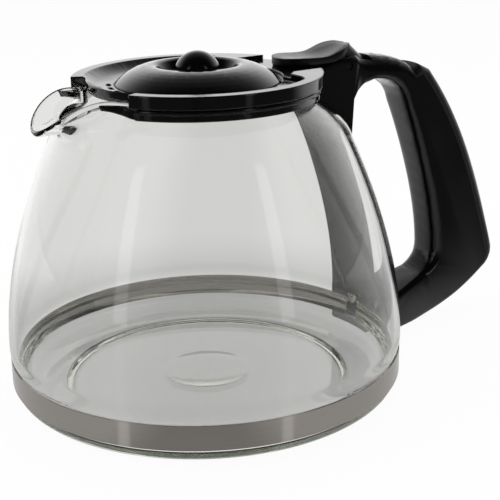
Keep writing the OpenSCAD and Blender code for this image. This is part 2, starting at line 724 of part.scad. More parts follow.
module handle_frame() {
    slot_half = handle_half - ear_t;
    pocket_half = lug_out_y + lug_side_play;
    color(matte_black) difference() {
        union() {
            difference() {
                handle_loop();
                slab(handle_half + over, cover_region);
            }
            spine();
        }
        jug_space();
        // The slot between the ears, where the lever turns
        translate([hinge_x, slot_half, hinge_z]) rotate([90, 0, 0]) cylinder(r = ear_well_r, h = slot_half * 2);
        translate([ear_front_x - over, -slot_half, hinge_z - slot_drop])
            cube([hinge_x - ear_front_x + over, slot_half * 2, ear_well_r]);
        translate([hinge_x - over, -slot_half, hinge_z]) cube([ear_well_r + over, slot_half * 2, ear_well_r]);
        translate(HINGE + [0, handle_half + over, 0]) rotate([90, 0, 0])
            cylinder(r = pin_r, h = (handle_half + over) * 2);
        // The pocket for the collar's tang
        translate([neck_r, -tang_half, tang_z]) cube([tang_reach - neck_r, tang_half * 2, tang_h]);
        // The pocket for the band's lugs, and the way in for the screw
        translate([groove_r, -pocket_half, lug_z - lug_play])
            cube([lug_reach + lug_play - groove_r, pocket_half * 2, lug_h + lug_play * 2]);
        along_y(-foot_flare_half - over) cylinder(r = screw_head_r + lug_play, h = foot_flare_half + over + screw_seat_y);
        along_y(screw_seat_y - over) cylinder(r = screw_hole_r, h = -screw_seat_y);
    }
}

module handle_cover() {
    color(black) intersection() {
        handle_loop();
        slab(handle_half + over, cover_region);
    }
}

// Depth of the pin's ends in the ears' outer faces
pin_recess = 0.5;

module hinge_pin() {
    color("#35322f") translate(HINGE + [0, handle_half - pin_recess, 0]) rotate([90, 0, 0])
        cylinder(r = pin_r, h = (handle_half - pin_recess) * 2);
}

// Lid: a dished plate with a rim wall outside the glass and a short skirt inside it

pour_half_angle = 29;
plate_z = dish_z - plate_t;
lid_wall_z = lid_under_z - lid_lap;
skirt_z = plate_z - skirt_h;
dish_r = lid_r - dish_w;
rim_inner_r = lid_r - rim_flat;
land_x = lid_r - land_w;
slot_ring_r = skirt_r - slot_in;
slots_beside = 2;
lever_seat_z = lid_top_z - seat_depth;
lever_x = lid_r - lever_lap;

dome_r = skirt_r - dome_in;
// Step from the dome's foot in to its plug, and play around the dome in the lid
dome_step = 1.8;
dome_play = 0.5;
// Rise of the dish from the dome to the slope of the rim
dish_rise = 0.3;
hole_r = dome_r - dome_step;
ledge_r = dome_r + dome_play;

module pour_sector(r_inner) {
    // The sector above the spout, outside a radius
    rotate([0, 0, 180 - pour_half_angle]) rotate_extrude(angle = 2 * pour_half_angle)
        translate([r_inner, 0]) square([lid_r, lid_top_z]);
}

module strainer_slot() {
    linear_extrude(lid_top_z) {
        translate([0, (slot_w - slot_l) / 2]) circle(slot_w / 2);
        translate([0, (slot_l - slot_w) / 2]) circle(slot_w / 2);
        translate([-slot_w / 2, (slot_w - slot_l) / 2]) square([slot_w, slot_l - slot_w]);
    }
}

module dish_plan() {
    // The dished part of the lid from above, with round corners beside the land
    offset(r = land_corner_r) offset(delta = -land_corner_r) intersection() {
        circle(rim_inner_r);
        translate([-lid_r, -lid_r]) square([lid_r + land_x, lid_r * 2]);
    }
}

module seat_plan() {
    // The seat for the lever from above, wider at its front
    flank = [[land_x - over, seat_half + seat_flare + over], [land_x + seat_flare, seat_half],
             [lid_r + over, seat_half]];
    polygon(concat(flank, [for (p = reversed(flank)) [p[0], -p[1]]]));
}

module lid() {
    plug_r = neck_in_r - move_gap;
    color(black) difference() {
        union() {
            rotate_extrude() polygon([
                [hole_r, plate_z], [skirt_r - plate_t, plate_z], [skirt_r - plate_t, skirt_z],
                [skirt_r, skirt_z], [skirt_r, plate_z], [plug_r, plate_z],
                [plug_r, lid_under_z], [lid_r - lid_wall_t, lid_under_z],
                [lid_r - lid_wall_t, lid_wall_z], [lid_r, lid_wall_z], [lid_r, lid_top_z],
                [rim_inner_r, lid_top_z], [dish_r, dish_z + dish_rise], [ledge_r, dish_z], [hole_r, dish_z]]);
            // The flat land beside the hinge
            translate([0, 0, lid_under_z]) linear_extrude(lid_top_z - lid_under_z) difference() {
                circle(lid_r);
                dish_plan();
            }
        }
        translate([0, 0, dish_z]) cylinder(r = ledge_r, h = lid_top_z);
        cylinder(r = hole_r, h = lid_top_z);
        pour_sector(lid_r - pour_cut);
        translate([0, 0, lever_seat_z]) linear_extrude(lid_top_z) seat_plan();
        for (i = [-slots_beside:slots_beside])
            rotate([0, 0, 180 + i * slot_step]) translate([slot_ring_r, 0, 0]) strainer_slot();
    }
}

// Lid dome: a domed shell with a well at its crest, and a plug that fits the lid's hole

flank_shares = [[0.235, 0.555], [0.59, 1]];
inner_flank_shares = [[0.28, 0.51], [0.62, 1]];
well_foot_w = 2.4;
well_lip_shares = [0.5, 0.84];
flank_steps = 7;

module lid_dome() {
    flank = bend([dome_r, dish_z], [crest_r, crest_z], flank_shares, flank_steps);
    floor_under_z = well_z - dome_t;
    inner_crest_r = crest_r + dome_t / 2;
    inner_flank = bend([hole_r - dome_t, dish_z], [inner_crest_r, crest_z - dome_t], inner_flank_shares, flank_steps);
    well_r = crest_r - well_foot_w;
    drain_r = mix(knob_r, crest_r, 0.45);
    color(black) difference() {
        rotate_extrude() polygon(concat(
            [[stem_r, floor_under_z], [stem_r, well_z], [well_r, well_z],
             between([well_r, well_z], [crest_r, crest_z], well_lip_shares)],
            reversed(flank), [[hole_r, dish_z], [hole_r, skirt_z], [hole_r - dome_t, skirt_z]],
            inner_flank, [[crest_r - dome_t / 4, floor_under_z]]));
        for (i = [0:drain_count - 1]) rotate([0, 0, (i + 0.5) * 360 / drain_count])
            translate([drain_r - drain_l / 2, -drain_w / 2, floor_under_z - over])
            cube([drain_l, drain_w, dome_t + over * 2]);
    }
}

module drip_knob() {
    color(black) {
        intersection() {
            translate([0, 0, knob_z - knob_ball_r]) sphere(knob_ball_r);
            translate([0, 0, well_z]) cylinder(r = knob_r, h = knob_z - well_z + over);
        }
        translate([0, 0, well_z - stem_l]) cylinder(r = stem_r, h = stem_l);
    }
}

// Thumb lever: the broad dished rest, the narrow arm under it, and the knuckle and tail between the ears

lever_top_z = lid_top_z + lever_h;
rest_under_z = lever_seat_z + rest_up;
rest_front_x = lever_x + lever_half;
rest_back_x = hinge_x - lever_back;
knuckle_half = handle_half - ear_t - move_gap;

// Places as shares of the way from the lever's front to the hinge, and of its height above the seat
function on_lever(shares) = [mix(lever_x, hinge_x, shares[0]), mix(lever_seat_z, lever_top_z, shares[1])];
function lever_curve(shares, steps) =
    curve(on_lever(shares[0]), on_lever(shares[1]), on_lever(shares[2]), on_lever(shares[3]), steps);

// Lips of the rest from the side: level at the nose, then down to the dip and up to the crest
nose_shares = [[-0.02, 0.5], [0.2, 0.61], [0.4, 0.456], [0.59, 0.456]];
rise_shares = [[0.59, 0.456], [0.762, 0.456], [0.883, 0.86], [1.072, 0.985]];
back_lip_shares = [1.15, 0.93];
nose_steps = 5;
rise_steps = 8;
lips = concat(lever_curve(nose_shares, nose_steps), tail(lever_curve(rise_shares, rise_steps)),
              [on_lever(back_lip_shares)]);

// Stations along the rest, each with its place and half width. Both ends are round from above.
arc_steps = 6;
straight_steps = 6;
first_angle = 8;
arc_angles = [for (i = [0:arc_steps]) mix(first_angle, 90, i / arc_steps)];
stations = concat(
    [for (a = arc_angles) [rest_front_x - lever_half * cos(a), lever_half * sin(a)]],
    [for (i = [1:straight_steps]) [mix(rest_front_x, rest_back_x, i / straight_steps), lever_half]],
    [for (a = tail(reversed(arc_angles))) [rest_back_x + lever_half * cos(a), lever_half * sin(a)]]);

// Depth of the thumb's dish at both ends of the rest, as a share of its depth in the middle
dish_end_share = 0.15;
across_steps = 8;

// One section across the rest: its two feet, and the dished top between them
function rest_section(x, half, share) = let (lip_z = lookup(x, lips))
    concat([[x, half, rest_under_z], [x, -half, rest_under_z]],
        [for (k = [0:across_steps]) let (y = 2 * k / across_steps - 1)
            [x, half * y, lip_z - thumb_dish * mix(dish_end_share, 1, sin(180 * share)) * (1 - y * y)]]);

rest_points = [for (i = [0:len(stations) - 1])
    each rest_section(stations[i][0], stations[i][1], i / (len(stations) - 1))];

module thumb_rest() {
    polyhedron(points = rest_points, faces = tube_faces(len(stations), across_steps + 3), convexity = 4);
}

// Clearance between the rest and the ears, closed and open
rest_play = 0.4;
ear_room_outline = concat(
    [[ear_front_x, hinge_z - over], [ear_front_x, hinge_z + rest_play], on_handle(ear_top_shares) + [0, rest_play]],
    [for (p = arch) p + [0, rest_play]], [[arch_end[0], hinge_z - over]]);

module ear_room() {
    // The room of both ears, which the rest is cut back from
    for (side = [-1, 1]) translate([0, side * (knuckle_half + lever_half), 0]) slab(lever_half, ear_room_outline);
}

// Foot of the arm on the seat, its height inside the rest, and the play beside the lid's rim
arm_foot_share = 0.1;
arm_in_rest_share = 0.95;
arm_gap = 0.4;
arm_under_z = lid_wall_z + over;
arm_heel_shares = [0.745, -0.47];
knuckle_shares = [0.48, -0.81];
arm_foot_x = on_lever([arm_foot_share, 0])[0];
arm_top_z = mix(rest_under_z, lid_top_z, arm_in_rest_share);

narrow_outline = [
    [lid_r + arm_gap, arm_under_z], [lid_r + arm_gap, lever_seat_z], [arm_foot_x, lever_seat_z],
    [arm_foot_x, arm_top_z], [hinge_x, arm_top_z],
    [hinge_x + knuckle_r * knuckle_shares[0], hinge_z + knuckle_r * knuckle_shares[1]],
    [hinge_x - knuckle_r * knuckle_shares[0], hinge_z + knuckle_r * knuckle_shares[1]],
    on_lever(arm_heel_shares)];

// The tail slants down behind the crest. Both its discs are as wide as the knuckle.
tail_t = 1.2;
tail_top_shares = [-0.065, 0.87];
tail_end_share = 0.03;
tail_cut_share = 0.04;

module tail_disc(place) {
    translate([place[0], 0, place[1] - tail_t]) cylinder(r = knuckle_half, h = tail_t, $fn = 48);
}

module lever_tail() {
    intersection() {
        hull() {
            tail_disc(on_lever([1 + tail_top_shares[0], tail_top_shares[1]]));
            tail_disc([hinge_x + tail_l - knuckle_half, on_lever([1, tail_end_share])[1]]);
        }
        translate([on_lever([1 + tail_cut_share, 0])[0], -lever_half, 0]) cube([tail_l, lever_half * 2, lever_top_z]);
    }
}

module thumb_lever() {
    color(black) difference() {
        union() {
            difference() {
                thumb_rest();
                ear_room();
                translate(HINGE) rotate([0, -lid_open, 0]) translate(-HINGE) ear_room();
            }
            slab(knuckle_half, narrow_outline);
            translate(HINGE + [0, knuckle_half, 0]) rotate([90, 0, 0])
                cylinder(r = knuckle_r, h = knuckle_half * 2);
            lever_tail();
        }
        translate(HINGE + [0, knuckle_half + over, 0]) rotate([90, 0, 0])
            cylinder(r = pin_r + pin_play, h = (knuckle_half + over) * 2);
    }
}

glass_jug();
steel_band();
clamp_screw();
clamp_nut();
neck_collar();
handle_frame();
handle_cover();
hinge_pin();
lid();
lid_dome();
drip_knob();
thumb_lever();
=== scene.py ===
# Glass coffee server: blown jug, steel clamp band, neck collar, looped handle and hinged lid.
import math
import bmesh
import bpy
from mathutils import Matrix, Vector


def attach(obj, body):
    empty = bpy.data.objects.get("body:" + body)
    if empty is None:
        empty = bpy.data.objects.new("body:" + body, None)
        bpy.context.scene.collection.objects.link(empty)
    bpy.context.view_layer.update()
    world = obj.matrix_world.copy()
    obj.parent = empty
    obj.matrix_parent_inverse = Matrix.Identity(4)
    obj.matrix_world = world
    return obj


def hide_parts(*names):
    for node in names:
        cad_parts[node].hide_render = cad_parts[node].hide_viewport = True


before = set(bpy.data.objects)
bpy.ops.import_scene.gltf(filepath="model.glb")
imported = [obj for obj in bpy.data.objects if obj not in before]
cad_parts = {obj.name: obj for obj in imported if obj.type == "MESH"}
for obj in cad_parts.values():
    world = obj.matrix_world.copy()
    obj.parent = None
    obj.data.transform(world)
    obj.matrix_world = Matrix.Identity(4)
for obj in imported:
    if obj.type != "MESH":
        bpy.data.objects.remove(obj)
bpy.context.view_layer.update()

mm = 0.001
scene = bpy.context.scene
print("frame loaded:", len(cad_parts), "nodes")


def mix(a, b, share):
    return a + (b - a) * share


def between(a, b, shares):
    # the point that lies at these shares of the width and of the height from a to b
    return (mix(a[0], b[0], shares[0]), mix(a[1], b[1], shares[1]))


def curve(a, b, c, d, steps):
    # points along a cubic curve from a to d, pulled towards b and c on its way
    points = []
    for i in range(steps + 1):
        t = i / steps
        points.append(tuple(p * (1 - t) ** 3 + 3 * q * t * (1 - t) ** 2 + 3 * r * t * t * (1 - t) + s * t ** 3
                            for p, q, r, s in zip(a, b, c, d)))
    return points


def bend(a, d, shares, steps):
    # a curve from a to d whose two pulls are shares of the width and the height between them
    return curve(a, between(a, d, shares[0]), between(a, d, shares[1]), d, steps)


def toLinear(hexColour):
    values = [int(hexColour.lstrip("#")[i:i + 2], 16) / 255 for i in (0, 2, 4)]
    return tuple(v / 12.92 if v <= 0.04045 else ((v + 0.055) / 1.055) ** 2.4 for v in values) + (1.0,)


def addNode(tree, kind, settings=None, inputs=None):
    # adds one node, sets its properties, then links sockets or sets plain values
    node = tree.nodes.new(kind)
    for key, value in (settings or {}).items():
        setattr(node, key, value)
    for key, value in (inputs or {}).items():
        if isinstance(value, bpy.types.NodeSocket):
            tree.links.new(value, node.inputs[key])
        else:
            node.inputs[key].default_value = value
    return node


def newMaterial(name):
    material = bpy.data.materials.new(name)
    material.use_nodes = True
    material.node_tree.nodes.clear()
    return material, material.node_tree


def addObject(name, mesh, material, body, nodes=()):
    piece = bpy.data.objects.new(name, mesh)
    scene.collection.objects.link(piece)
    mesh.materials.clear()
    mesh.materials.append(material)
    if body:
        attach(piece, body)
    if nodes:
        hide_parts(*nodes)
    return piece


def smooth(mesh, degrees):
    for polygon in mesh.polygons:
        polygon.use_smooth = True
    mesh.set_sharp_from_angle(angle=math.radians(degrees))


# the camera stands where the photographer's stood: its place is in millimetres, and what it sees
# lies between near and far, in metres
camera = {"place": (-217.4, -367.5, 194.7), "ahead": (0.5446, 0.8387, 0.0), "pitch": 18.38, "roll": 1.09,
          "lens": 84.96, "sensor": 36.0, "near": 0.01, "far": 20.0}


def makeCamera(c):
    pitch, roll = math.radians(c["pitch"]), math.radians(c["roll"])
    level = Vector(c["ahead"]).normalized()
    ahead = level * math.cos(pitch) - Vector((0, 0, math.sin(pitch)))
    right = ahead.cross(Vector((0, 0, 1))).normalized()
    up = right.cross(ahead)
    rightRolled = right * math.cos(roll) - up * math.sin(roll)
    upRolled = right * math.sin(roll) + up * math.cos(roll)
    data = bpy.data.cameras.new("studioCamera")
    data.lens, data.sensor_width, data.sensor_fit = c["lens"], c["sensor"], "HORIZONTAL"
    data.clip_start, data.clip_end = c["near"], c["far"]
    holder = bpy.data.objects.new("studioCamera", data)
    scene.collection.objects.link(holder)
    turn = Matrix((rightRolled, upRolled, -ahead)).transposed()
    holder.matrix_world = Matrix.Translation(Vector(c["place"]) * mm) @ turn.to_4x4()
    scene.camera = holder


makeCamera(camera)
print("camera placed")

# borosilicate glass, blown: clear, a little wavy, and green only where the light runs far inside it
blownGlass = {"colour": "#fafaf9", "roughness": 0.0, "ior": 1.474, "tint": "#a6b58c", "tintPerMetre": 9.0,
              "waveMm": 30.0, "waveDetail": 1.0, "waveRoughness": 0.4, "waveHeightMm": 0.25,
              "waveStrength": 0.12}


def glassMaterial(f):
    material, tree = newMaterial("BorosilicateGlassBlown")
    place = addNode(tree, "ShaderNodeTexCoord")
    wave = addNode(tree, "ShaderNodeTexNoise", {}, {
        "Vector": place.outputs["Object"], "Scale": 1 / (f["waveMm"] * mm), "Detail": f["waveDetail"],
        "Roughness": f["waveRoughness"]})
    bump = addNode(tree, "ShaderNodeBump", {}, {
        "Height": wave.outputs["Fac"], "Strength": f["waveStrength"], "Distance": f["waveHeightMm"] * mm})
    shader = addNode(tree, "ShaderNodeBsdfPrincipled", {}, {
        "Base Color": toLinear(f["colour"]), "Roughness": f["roughness"], "IOR": f["ior"],
        "Transmission Weight": 1.0, "Normal": bump.outputs["Normal"]})
    volume = addNode(tree, "ShaderNodeVolumeAbsorption", {}, {
        "Color": toLinear(f["tint"]), "Density": f["tintPerMetre"]})
    addNode(tree, "ShaderNodeOutputMaterial", {}, {"Surface": shader.outputs[0], "Volume": volume.outputs[0]})
    return material


# polypropylene, moulded in a smooth tool: its skin has a faint orange peel, and hands rub it duller
# in patches
mouldedSkin = {"ior": 1.49, "peelMm": 2.4, "peelDetail": 2.0, "peelHeightMm": 0.1, "peelStrength": 0.05,
               "rubDetail": 4.0, "rubGrain": 0.6, "rubFrom": 0.45, "rubTo": 0.75, "edgeSamples": 6}
# from a polished tool: deep black, with sharp reflections that bend over its round edges
glossPolypropylene = {**mouldedSkin, "name": "PolypropyleneMouldedGloss", "colour": "#060506",
                      "polished": 0.08, "rubbed": 0.15, "rubMm": 9.0, "edgeMm": 0.9}
# from a satin tool, for the cover and the thumb rest: the light spreads softly over their round edges
satinPolypropylene = {**mouldedSkin, "name": "PolypropyleneMouldedSatin", "colour": "#080708",
                      "polished": 0.3, "rubbed": 0.38, "rubMm": 12.0, "edgeMm": 5.0}


def glossMaterial(f):
    material, tree = newMaterial(f["name"])
    place = addNode(tree, "ShaderNodeTexCoord")
    peel = addNode(tree, "ShaderNodeTexNoise", {}, {
        "Vector": place.outputs["Object"], "Scale": 1 / (f["peelMm"] * mm), "Detail": f["peelDetail"]})
    rub = addNode(tree, "ShaderNodeTexNoise", {}, {
        "Vector": place.outputs["Object"], "Scale": 1 / (f["rubMm"] * mm), "Detail": f["rubDetail"],
        "Roughness": f["rubGrain"]})
    rough = addNode(tree, "ShaderNodeMapRange", {"interpolation_type": "SMOOTHSTEP"}, {
        "Value": rub.outputs["Fac"], "From Min": f["rubFrom"], "From Max": f["rubTo"],
        "To Min": f["polished"], "To Max": f["rubbed"]})
    edge = addNode(tree, "ShaderNodeBevel", {"samples": f["edgeSamples"]}, {"Radius": f["edgeMm"] * mm})
    bump = addNode(tree, "ShaderNodeBump", {}, {
        "Height": peel.outputs["Fac"], "Strength": f["peelStrength"], "Distance": f["peelHeightMm"] * mm,
        "Normal": edge.outputs[0]})
    shader = addNode(tree, "ShaderNodeBsdfPrincipled", {}, {
        "Base Color": toLinear(f["colour"]), "IOR": f["ior"], "Roughness": rough.outputs["Result"],
        "Normal": bump.outputs["Normal"]})
    addNode(tree, "ShaderNodeOutputMaterial", {}, {"Surface": shader.outputs[0]})
    return material


# polypropylene, moulded in a spark-eroded tool: brown-black, its fine grain spreads the light
# (the real grain of 0.1 mm is drawn at 0.35 mm, so that it shows)
grainPolypropylene = {"colour": "#070606", "ior": 1.49, "polished": 0.14, "dull": 0.24, "grainMm": 0.35,
                      "grainDetail": 2.0, "grainRoughness": 0.6, "grainHeightMm": 0.03, "grainStrength": 0.15,
                      "rubMm": 16.0, "rubDetail": 3.0, "rubFrom": 0.3, "rubTo": 0.7}


def matteMaterial(f):
    material, tree = newMaterial("PolypropyleneMouldedGrain")
    place = addNode(tree, "ShaderNodeTexCoord")
    grain = addNode(tree, "ShaderNodeTexNoise", {}, {
        "Vector": place.outputs["Object"], "Scale": 1 / (f["grainMm"] * mm), "Detail": f["grainDetail"],
        "Roughness": f["grainRoughness"]})
    bump = addNode(tree, "ShaderNodeBump", {}, {
        "Height": grain.outputs["Fac"], "Strength": f["grainStrength"], "Distance": f["grainHeightMm"] * mm})
    rub = addNode(tree, "ShaderNodeTexNoise", {}, {
        "Vector": place.outputs["Object"], "Scale": 1 / (f["rubMm"] * mm), "Detail": f["rubDetail"]})
    rough = addNode(tree, "ShaderNodeMapRange", {}, {
        "Value": rub.outputs["Fac"], "From Min": f["rubFrom"], "From Max": f["rubTo"],
        "To Min": f["polished"], "To Max": f["dull"]})
    shader = addNode(tree, "ShaderNodeBsdfPrincipled", {}, {
        "Base Color": toLinear(f["colour"]), "IOR": f["ior"], "Roughness": rough.outputs["Result"],
        "Normal": bump.outputs["Normal"]})
    addNode(tree, "ShaderNodeOutputMaterial", {}, {"Surface": shader.outputs[0]})
    return material


# stainless steel strip, cold rolled: a soft grey mirror with fine lines that run along the strip
rolledStrip = {"colour": "#aba6a1", "lineColour": "#a19c97", "bright": 0.11, "dull": 0.16, "rollMm": 0.4,
               "streakMm": 60.0, "lineDetail": 3.0, "lineFrom": 0.3, "lineTo": 0.7, "lineHeightMm": 0.02,
               "lineStrength": 0.03}


def bandMaterial(f):
    material, tree = newMaterial("StainlessSteelRolled")
    place = addNode(tree, "ShaderNodeTexCoord")
    streaks = 1 / (f["streakMm"] * mm)
    stretch = addNode(tree, "ShaderNodeMapping", {}, {
        "Vector": place.outputs["Object"], "Scale": (streaks, streaks, 1 / (f["rollMm"] * mm))})
    lines = addNode(tree, "ShaderNodeTexNoise", {}, {
        "Vector": stretch.outputs["Vector"], "Scale": 1.0, "Detail": f["lineDetail"]})
    colour = addNode(tree, "ShaderNodeMix", {"data_type": "RGBA"}, {
        "Factor": lines.outputs["Fac"], "A": toLinear(f["colour"]), "B": toLinear(f["lineColour"])})
    rough = addNode(tree, "ShaderNodeMapRange", {}, {
        "Value": lines.outputs["Fac"], "From Min": f["lineFrom"], "From Max": f["lineTo"],
        "To Min": f["bright"], "To Max": f["dull"]})
    bump = addNode(tree, "ShaderNodeBump", {}, {
        "Height": lines.outputs["Fac"], "Strength": f["lineStrength"], "Distance": f["lineHeightMm"] * mm})
    shader = addNode(tree, "ShaderNodeBsdfPrincipled", {}, {
        "Base Color": colour.outputs["Result"], "Metallic": 1.0, "Roughness": rough.outputs["Result"],
        "Normal": bump.outputs["Normal"]})
    addNode(tree, "ShaderNodeOutputMaterial", {}, {"Surface": shader.outputs[0]})
    return material


# small steel parts: their fine grain is darker and duller in its hollows
steelGrain = {"grainDetail": 3.0, "hollowFrom": 0.3, "hollowTo": 0.7, "grainHeightMm": 0.03,
              "grainStrength": 0.1}
# steel, pressed and zinc plated: pale and half bright
zincPlate = {**steelGrain, "name": "SteelZincPlated", "colour": "#d2cfc8", "hollowColour": "#bdb9b2",
             "bright": 0.18, "dull": 0.3, "grainMm": 0.6}
# steel, turned and darkened with oil: it hardly shows in the black ears
darkPin = {**steelGrain, "name": "SteelTurnedDark", "colour": "#4a4643", "hollowColour": "#353230",
           "bright": 0.3, "dull": 0.45, "grainMm": 0.4}


def smallSteelMaterial(f):
    material, tree = newMaterial(f["name"])
    place = addNode(tree, "ShaderNodeTexCoord")
    grain = addNode(tree, "ShaderNodeTexNoise", {}, {
        "Vector": place.outputs["Object"], "Scale": 1 / (f["grainMm"] * mm), "Detail": f["grainDetail"]})
    colour = addNode(tree, "ShaderNodeMix", {"data_type": "RGBA"}, {
        "Factor": grain.outputs["Fac"], "A": toLinear(f["colour"]), "B": toLinear(f["hollowColour"])})
    rough = addNode(tree, "ShaderNodeMapRange", {}, {
        "Value": grain.outputs["Fac"], "From Min": f["hollowFrom"], "From Max": f["hollowTo"],
        "To Min": f["bright"], "To Max": f["dull"]})
    bump = addNode(tree, "ShaderNodeBump", {}, {
        "Height": grain.outputs["Fac"], "Strength": f["grainStrength"], "Distance": f["grainHeightMm"] * mm})
    shader = addNode(tree, "ShaderNodeBsdfPrincipled", {}, {
        "Base Color": colour.outputs["Result"], "Metallic": 1.0, "Roughness": rough.outputs["Result"],
        "Normal": bump.outputs["Normal"]})
    addNode(tree, "ShaderNodeOutputMaterial", {}, {"Surface": shader.outputs[0]})
    return material


clearGlass = glassMaterial(blownGlass)
glossBlack = glossMaterial(glossPolypropylene)
satinBlack = glossMaterial(satinPolypropylene)
matteBlack = matteMaterial(grainPolypropylene)
bandSteel = bandMaterial(rolledStrip)
zincSteel = smallSteelMaterial(zincPlate)
pinSteel = smallSteelMaterial(darkPin)
print("materials made")


# the jug in millimetres: outside and inside outlines, and two necks that are mixed by the angle
glass = {
    "bellyR": 75.1, "bellyZ": 22.0, "footR": 61.0, "footInnerR": 56.0, "puntH": 1.6, "puntSlope": 4.0,
    "puntFlat": 3.0, "puntTurn": 2.0, "footTurnIn": 0.6, "footTurnOut": 0.5, "floorTurn": 0.5,
    "floorZ": 4.2, "lensR": 18.0, "lensH": 1.1, "lensMiddleR": 0.6, "shoulderZ": 98.0, "shoulderR": 55.95,
    "leanPower": 1.8, "wall": 2.2, "neckR": 42.2, "neckZ": 112.3, "collarTopZ": 115.9, "rimZ": 117.1,
    "beadOut": 0.7, "grooveR": 74.25, "heelTopZ": 7.3, "grooveTopZ": 17.0,
    "spoutReach": 65.0, "spoutZ": 106.3, "spoutHalf": 28.0, "droopHalf": 21.0, "cheekRise": 2.0,
    "cheekHalf": 30.0, "cheekPower": 3, "swellPower": 1.15, "fineStep": 1.0, "coarseStep": 2.5,
    "sharpDegrees": 60,
}
# how its outlines run: pulls and points, as shares of the width and the height that each line spans
glassLines = {
    "punt": ((0.5, 0.0), (0.6, 1.0)), "heel": ((0.53, 0.0), (0.955, 0.33)),
    "belly": ((0.5, 0.1), (1.0, 0.55)), "innerHeel": ((0.61, 0.0), (0.949, 0.31)),
    "lens": ((0.75, 0.0), (0.88, 0.95)),
    "neckRise": 0.587, "neckPull": (0.78, 0.783), "collar": (0, 0.5),
    "neckInRise": 0.545, "neckInPull": (0.78, 0.745), "neckInTop": 0.97, "collarIn": (0.45, 0.83),
    "throat": (0.671, 0.045), "throatRise": 0.857, "throatPull": (0.496, 0.136),
    "throatIn": (0.671, 1.045), "throatInRise": 0.774, "throatInPull": (0.408, 1.045),
    "bead": ((0.6, 0.12), (1, 0.36), (1.05, 0.6), (0.86, 0.86), (0.3, 1)),
    "beadIn": ((0.02, 0.12), (0.06, 0.36), (0.14, 0.62), (0.27, 0.86), (0.5, 1)),
    "lip": ((0.79, 0.0), (0.895, 0.0), (0.94, 0.01), (0.969, 0.06), (0.99, 0.2), (1.0, 0.42),
            (0.998, 0.66)),
    "lipIn": ((0.79, 1.03), (0.86, 1.0), (0.91, 1.02), (0.945, 1.035), (0.968, 1.03), (0.982, 0.98),
              (0.992, 0.86)),
}
# into how many steps each line is cut
glassSteps = {"punt": 8, "heel": 18, "groove": 6, "belly": 6, "side": 46, "neck": 22, "lens": 16, "floor": 4}


def wallR(g, z):
    # the outside radius of the wall, which leans in more and more from the belly to the shoulder
    return g["bellyR"] - (g["bellyR"] - g["shoulderR"]) * (
        (z - g["bellyZ"]) / (g["shoulderZ"] - g["bellyZ"])) ** g["leanPower"]


def sideRows(g, steps):
    heights = (mix(g["bellyZ"], g["shoulderZ"], i / steps["side"]) for i in range(steps["side"] + 1))
    return [(wallR(g, z), z) for z in heights]


def footRows(g, lines, steps):
    # outside, from the hollow under the jug over the foot ring and the groove to the belly
    puntR = g["footInnerR"] - g["puntSlope"]
    heelTop, grooveTop = (g["grooveR"], g["heelTopZ"]), (g["grooveR"], g["grooveTopZ"])
    rows = [(puntR - g["puntFlat"], g["puntH"])]
    rows += bend((puntR - g["puntTurn"], g["puntH"]), (g["footInnerR"] + g["footTurnIn"], 0.0),
                 lines["punt"], steps["punt"])
    rows += [((g["footR"] + g["footInnerR"]) / 2, 0.0)]
    rows += bend((g["footR"] - g["footTurnOut"], 0.0), heelTop, lines["heel"], steps["heel"])
    rows += [(g["grooveR"], mix(g["heelTopZ"], g["grooveTopZ"], i / steps["groove"]))
             for i in range(1, steps["groove"] + 1)]
    rows += bend(grooveTop, (g["bellyR"], g["bellyZ"]), lines["belly"], steps["belly"])[1:-1]
    return rows


def floorRows(g, lines, steps):
    # inside, from the lens over the floor and the heel to the belly
    lensTop, lensEdge = (g["lensMiddleR"], g["floorZ"] + g["lensH"]), (g["lensR"], g["floorZ"])
    heelFoot = (g["footInnerR"] + g["floorTurn"], g["floorZ"])
    heelTop = (g["grooveR"] - g["wall"], g["grooveTopZ"])
    lens = bend(lensTop, lensEdge, lines["lens"], steps["lens"])
    flat = [(mix(g["lensR"], g["footInnerR"], i / steps["floor"]), g["floorZ"])
            for i in range(1, steps["floor"])]
    heel = bend(heelFoot, heelTop, lines["innerHeel"], steps["heel"])
    return lens + flat + heel


